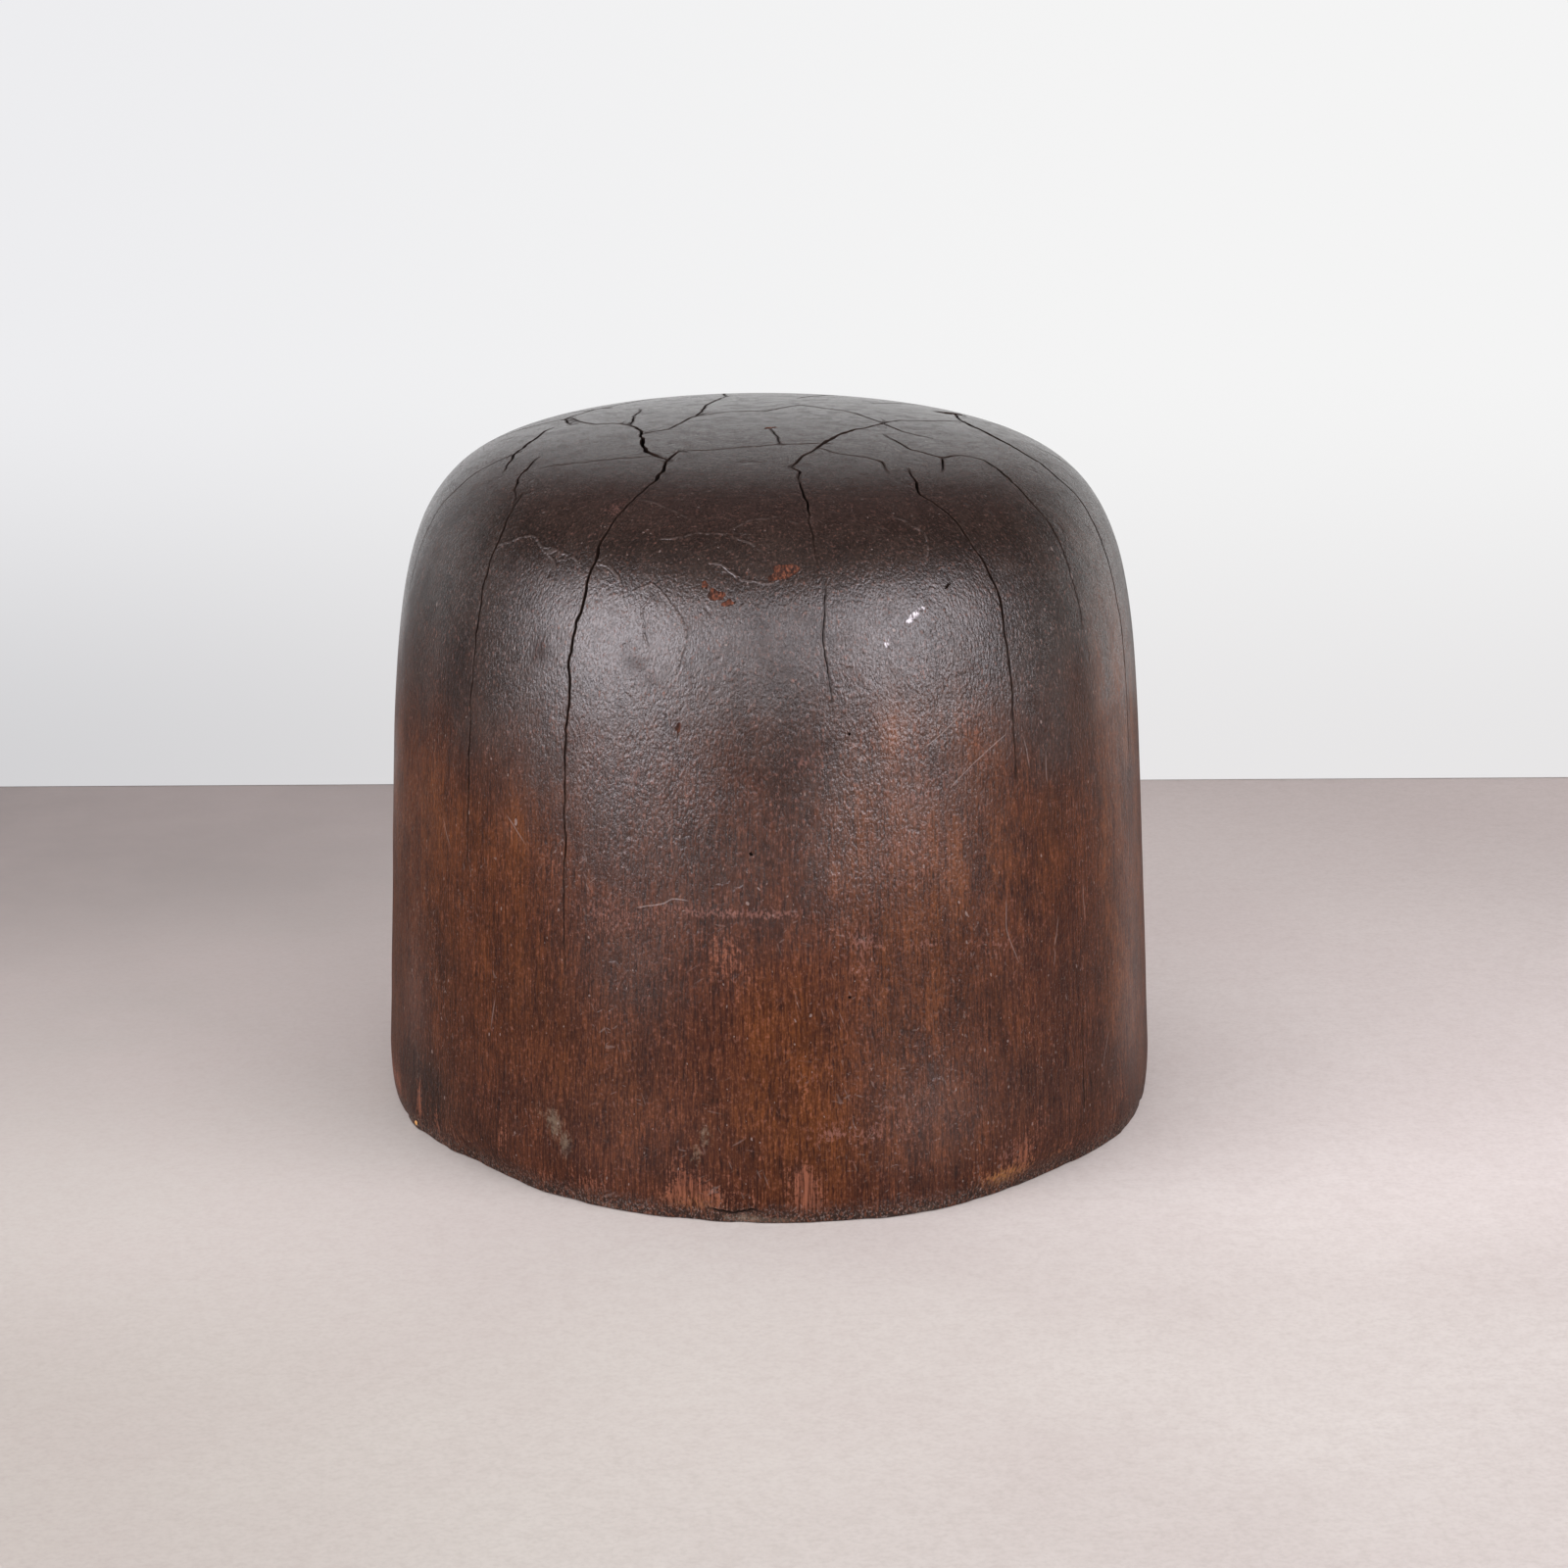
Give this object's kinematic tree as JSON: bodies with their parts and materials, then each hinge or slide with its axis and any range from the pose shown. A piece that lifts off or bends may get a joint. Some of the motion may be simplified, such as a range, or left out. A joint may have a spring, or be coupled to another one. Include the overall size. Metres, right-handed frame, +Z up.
{
  "type": "hat block",
  "caption": "Oval wooden crown block with upright sides, a tight shoulder and a low domed top, for shaping felt hats; an iron spindle socket is screwed into its base.",
  "frame": {"origin": "middle of the foot, on the plane that the block stands on", "axes": "+Z up through the crown, +Y along the oval's length away from the pictured end, +X across the oval"},
  "size_m": [0.165, 0.195, 0.143],
  "materials": {
    "stained_wood": "dark stained and lacquered wood, near black at the top, worn to red-brown below",
    "cast_iron": "old cast iron with a brown-black skin",
    "screw_steel": "dull steel, dark in the slots"
  },
  "bodies": {
    "root": {"block_body": "stained_wood", "socket_flange": "cast_iron", "flange_screw_1": "screw_steel", "flange_screw_2": "screw_steel", "flange_screw_3": "screw_steel", "flange_screw_4": "screw_steel"}
  },
  "joints": []
}
